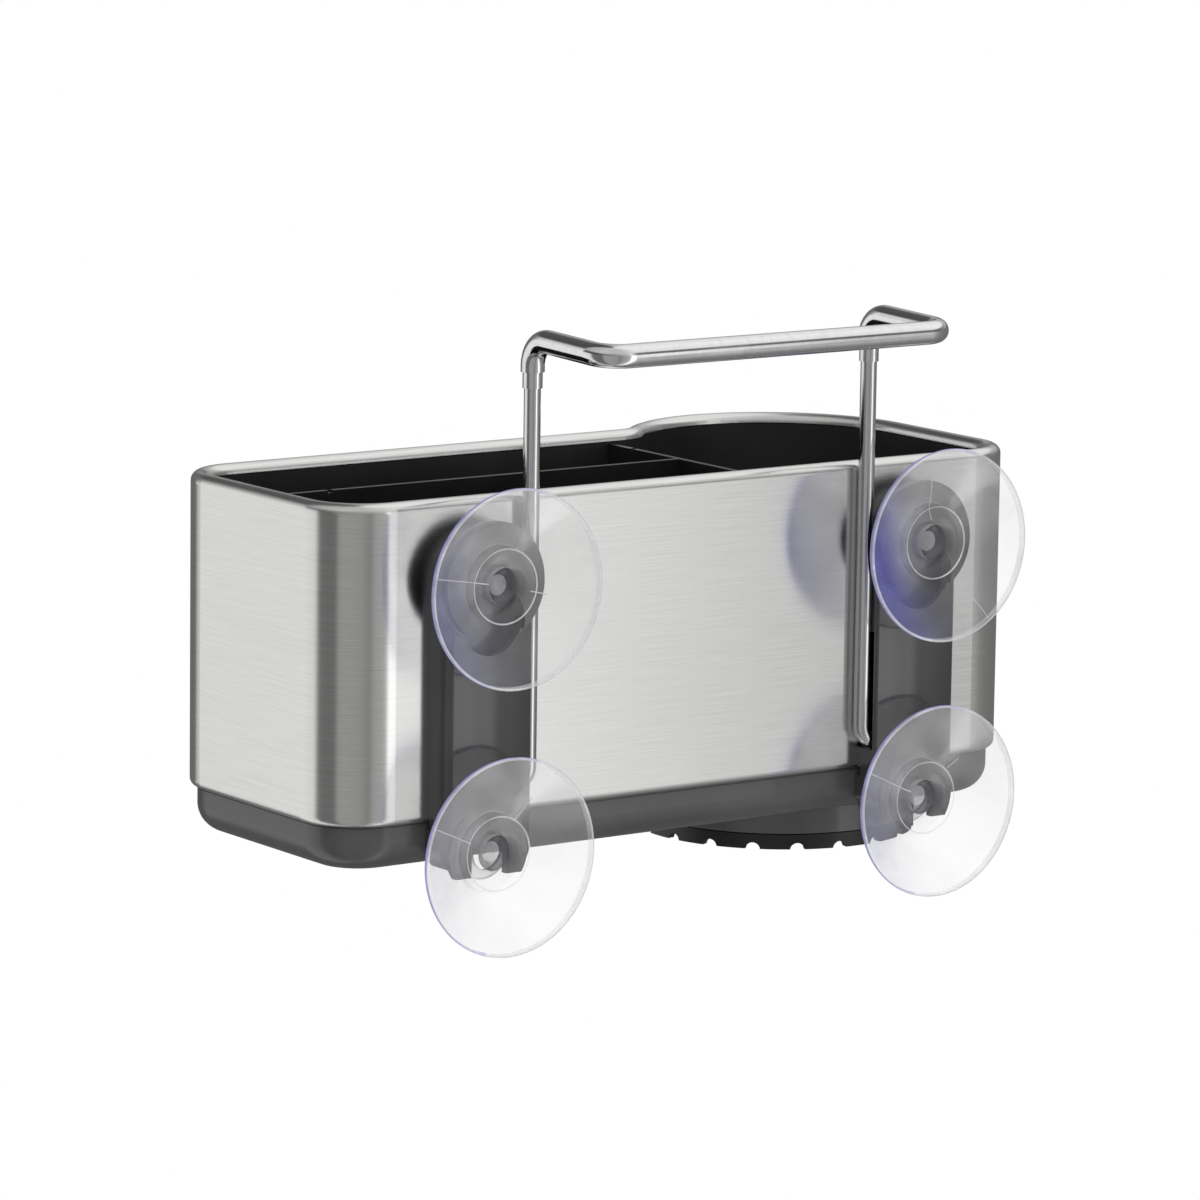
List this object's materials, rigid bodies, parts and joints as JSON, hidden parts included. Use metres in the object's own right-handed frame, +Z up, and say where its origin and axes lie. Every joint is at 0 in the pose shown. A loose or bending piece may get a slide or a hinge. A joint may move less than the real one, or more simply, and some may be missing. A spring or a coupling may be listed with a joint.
{
  "type": "kitchen sink caddy",
  "caption": "Steel-wrapped sink caddy with divided channels and a round bottle well, held by suction cups and a wire hanger over the sink rim.",
  "frame": {"origin": "centre of the pattern of suction cups, in the plane of the upper cups' rims, where the sink wall is", "axes": "+Z up, +Y out of the cups into the sink wall (the caddy's front and its bulge face -Y), +X towards the channel end, away from the bottle well"},
  "size_m": [0.24, 0.1464, 0.1722],
  "materials": {
    "shell_steel": "horizontal brushed grain",
    "wire_steel": "polished",
    "screw_steel": "plain",
    "grey_plastic": "satin",
    "bracket_plastic": "satin",
    "liner_plastic": "satin",
    "divider_plastic": "satin",
    "dial_plastic": "satin",
    "sleeve_clear": "clear soft plastic",
    "cup_clear": "clear soft plastic with a faint violet tint",
    "seal_rubber": "matt"
  },
  "bodies": {
    "caddy": {"steel_shell": "shell_steel", "inner_liner": "liner_plastic", "base_tray": "grey_plastic", "bracket_channel_end": "bracket_plastic", "bracket_well_end": "bracket_plastic", "bracket_screws": "screw_steel", "base_screws": "screw_steel"},
    "hanger": {"hanger_wire": "wire_steel", "hanger_sleeve": "sleeve_clear"},
    "divider_insert": {"cross_divider": "divider_plastic", "long_divider": "divider_plastic"},
    "drain": {"drain_dial": "dial_plastic", "drain_seal": "seal_rubber", "drain_clip": "screw_steel"},
    "suction_channel_upper": {"cup_channel_upper": "cup_clear"},
    "suction_channel_lower": {"cup_channel_lower": "cup_clear"},
    "suction_well_upper": {"cup_well_upper": "cup_clear"},
    "suction_well_lower": {"cup_well_lower": "cup_clear"}
  },
  "joints": [
    {"name": "hanger_height", "type": "slide", "parent": "caddy", "child": "hanger", "axis": [0, 0, 1], "range_m": [0, 0.0275]},
    {"name": "divider_lift", "type": "slide", "parent": "caddy", "child": "divider_insert", "axis": [0, 0, 1], "range_m": [0, 0.09]},
    {"name": "drain_twist", "type": "hinge", "parent": "caddy", "child": "drain", "pos_m": [-0.0735, -0.0795, -0.0519], "axis": [0, 0, 1], "range_deg": [0, 30]},
    {"name": "cup_turn_channel_upper", "type": "hinge", "parent": "caddy", "child": "suction_channel_upper", "pos_m": [0.075, 0, 0.0375], "axis": [0, 1, 0], "continuous": true},
    {"name": "cup_turn_channel_lower", "type": "hinge", "parent": "caddy", "child": "suction_channel_lower", "pos_m": [0.075, -0.002, -0.0375], "axis": [0, 1, 0], "continuous": true},
    {"name": "cup_turn_well_upper", "type": "hinge", "parent": "caddy", "child": "suction_well_upper", "pos_m": [-0.075, 0, 0.0375], "axis": [0, 1, 0], "continuous": true},
    {"name": "cup_turn_well_lower", "type": "hinge", "parent": "caddy", "child": "suction_well_lower", "pos_m": [-0.075, -0.002, -0.0375], "axis": [0, 1, 0], "continuous": true}
  ]
}
